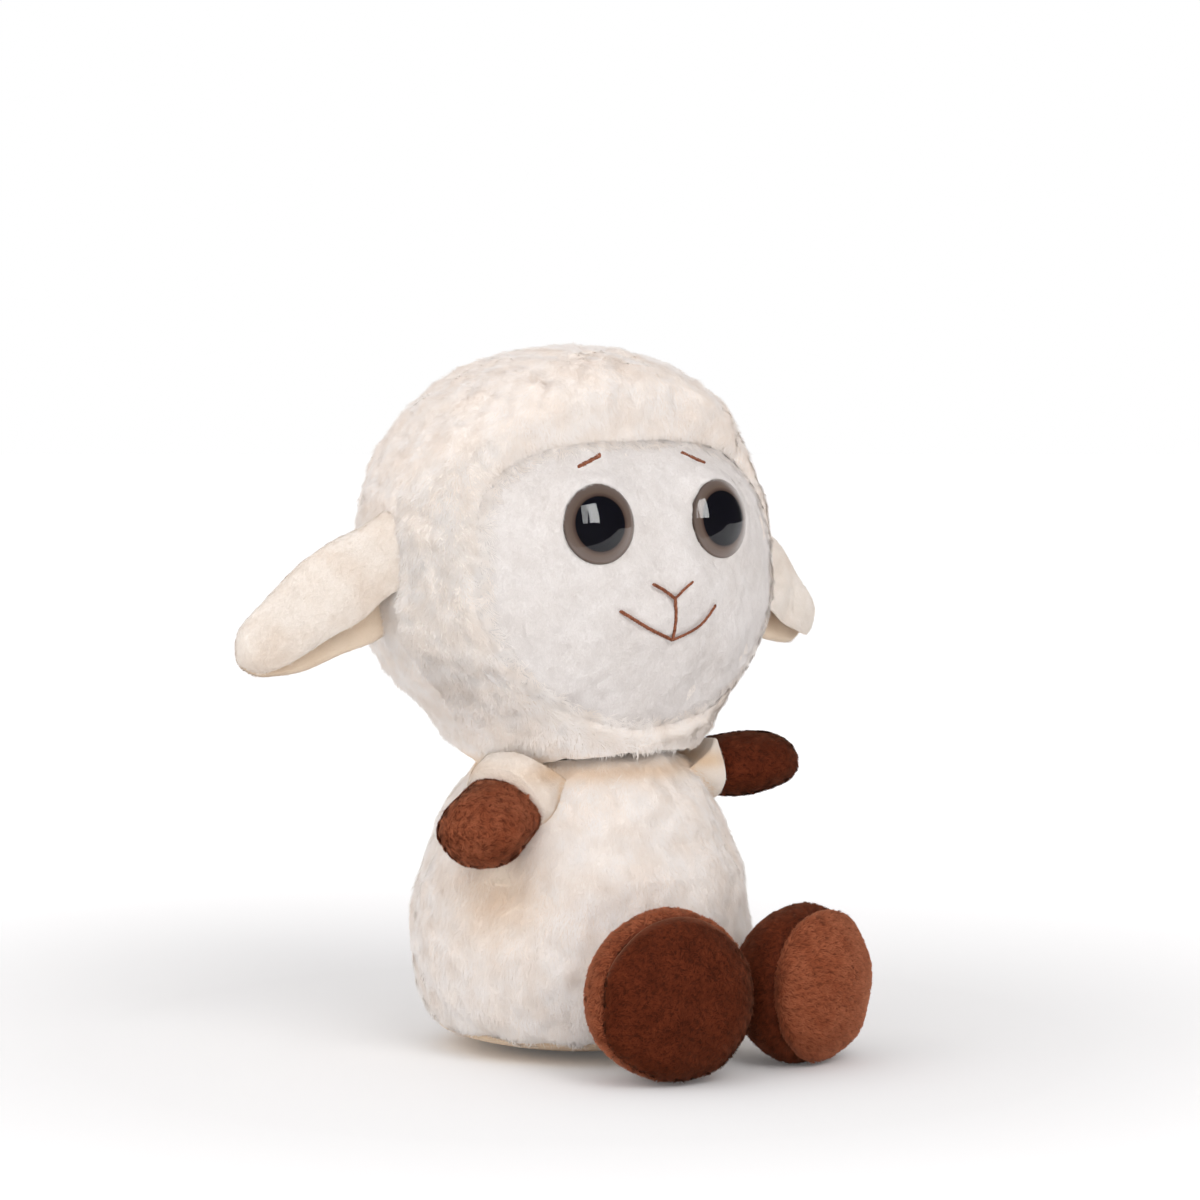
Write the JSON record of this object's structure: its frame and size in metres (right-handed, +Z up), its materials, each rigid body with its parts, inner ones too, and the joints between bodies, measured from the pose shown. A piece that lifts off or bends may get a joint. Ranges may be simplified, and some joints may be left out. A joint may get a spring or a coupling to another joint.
{
  "type": "plush sheep",
  "caption": "Sitting plush sheep with a round woolly head, embroidered face, plastic eyes, folded drooping ears, and soft limbs that turn at their seams.",
  "frame": {"origin": "middle of the base panel, on the surface that the toy sits on", "axes": "+Z up, the face looks along -Y, +X towards the toy's own left"},
  "size_m": [0.2078, 0.1422, 0.1957],
  "materials": {
    "fleece": "deep woolly fleece, warm cream",
    "face_pile": "short dense plush, off-white",
    "smooth_pile": "short smooth plush, cream",
    "brown_pile": "short plush with a lying nap, chestnut brown",
    "thread": "satin embroidery thread, brown",
    "filling": "polyester fibre, white",
    "pellets": "cloth bag of plastic pellets",
    "clear_plastic": "clear, polished",
    "iris_plastic": "taupe ring round a black pupil, glossy",
    "washer_plastic": "matt white"
  },
  "bodies": {
    "body": {"body_cover": "fleece", "base_panel": "smooth_pile", "body_filling": "filling", "pellet_bag": "pellets"},
    "neck": {"neck_filling": "filling"},
    "head": {"head_hood": "fleece", "face_panel": "face_pile", "head_filling": "filling", "nose_stitch": "thread", "mouth_stitch": "thread", "right_brow_stitch": "thread", "right_eye_iris": "iris_plastic", "right_eye_lens": "clear_plastic", "right_eye_washer": "washer_plastic", "left_brow_stitch": "thread", "left_eye_iris": "iris_plastic", "left_eye_lens": "clear_plastic", "left_eye_washer": "washer_plastic"},
    "right_ear": {"right_ear_outer": "smooth_pile", "right_ear_lining": "smooth_pile"},
    "left_ear": {"left_ear_outer": "smooth_pile", "left_ear_lining": "smooth_pile"},
    "right_arm": {"right_arm_sleeve": "smooth_pile", "right_hand": "brown_pile", "right_arm_filling": "filling"},
    "left_arm": {"left_arm_sleeve": "smooth_pile", "left_hand": "brown_pile", "left_arm_filling": "filling"},
    "right_leg": {"right_leg_sleeve": "smooth_pile", "right_foot_upper": "brown_pile", "right_foot_sole": "brown_pile", "right_leg_filling": "filling"},
    "left_leg": {"left_leg_sleeve": "smooth_pile", "left_foot_upper": "brown_pile", "left_foot_sole": "brown_pile", "left_leg_filling": "filling"}
  },
  "joints": [
    {"name": "head_turn", "type": "hinge", "parent": "body", "child": "neck", "pos_m": [0, 0, 0.05], "axis": [0, 0, 1], "range_deg": [-25, 25], "stiffness_Nm_per_rad": 0.4},
    {"name": "head_nod", "type": "hinge", "parent": "neck", "child": "head", "pos_m": [0, 0, 0.05], "axis": [1, 0, 0], "range_deg": [-12, 4], "stiffness_Nm_per_rad": 1.2},
    {"name": "right_ear_swing", "type": "hinge", "parent": "head", "child": "right_ear", "pos_m": [-0.0613, 0.011, 0.133], "axis": [0, 0, 1], "range_deg": [-20, 20], "stiffness_Nm_per_rad": 0.01},
    {"name": "left_ear_swing", "type": "hinge", "parent": "head", "child": "left_ear", "pos_m": [0.0613, 0.011, 0.133], "axis": [0, 0, 1], "range_deg": [-20, 20], "stiffness_Nm_per_rad": 0.01},
    {"name": "right_arm_swing", "type": "hinge", "parent": "body", "child": "right_arm", "pos_m": [-0.02262, -0.00801, 0.076], "axis": [0, 0, 1], "range_deg": [-15, 20], "stiffness_Nm_per_rad": 0.03},
    {"name": "left_arm_swing", "type": "hinge", "parent": "body", "child": "left_arm", "pos_m": [0.02262, -0.00801, 0.076], "axis": [0, 0, 1], "range_deg": [-20, 15], "stiffness_Nm_per_rad": 0.03},
    {"name": "right_leg_swing", "type": "hinge", "parent": "body", "child": "right_leg", "pos_m": [-0.0125, -0.044, 0.0222], "axis": [0, 0, 1], "range_deg": [-15, 0], "stiffness_Nm_per_rad": 0.15},
    {"name": "left_leg_swing", "type": "hinge", "parent": "body", "child": "left_leg", "pos_m": [0.0215, -0.044, 0.0222], "axis": [0, 0, 1], "range_deg": [0, 15], "stiffness_Nm_per_rad": 0.15}
  ]
}
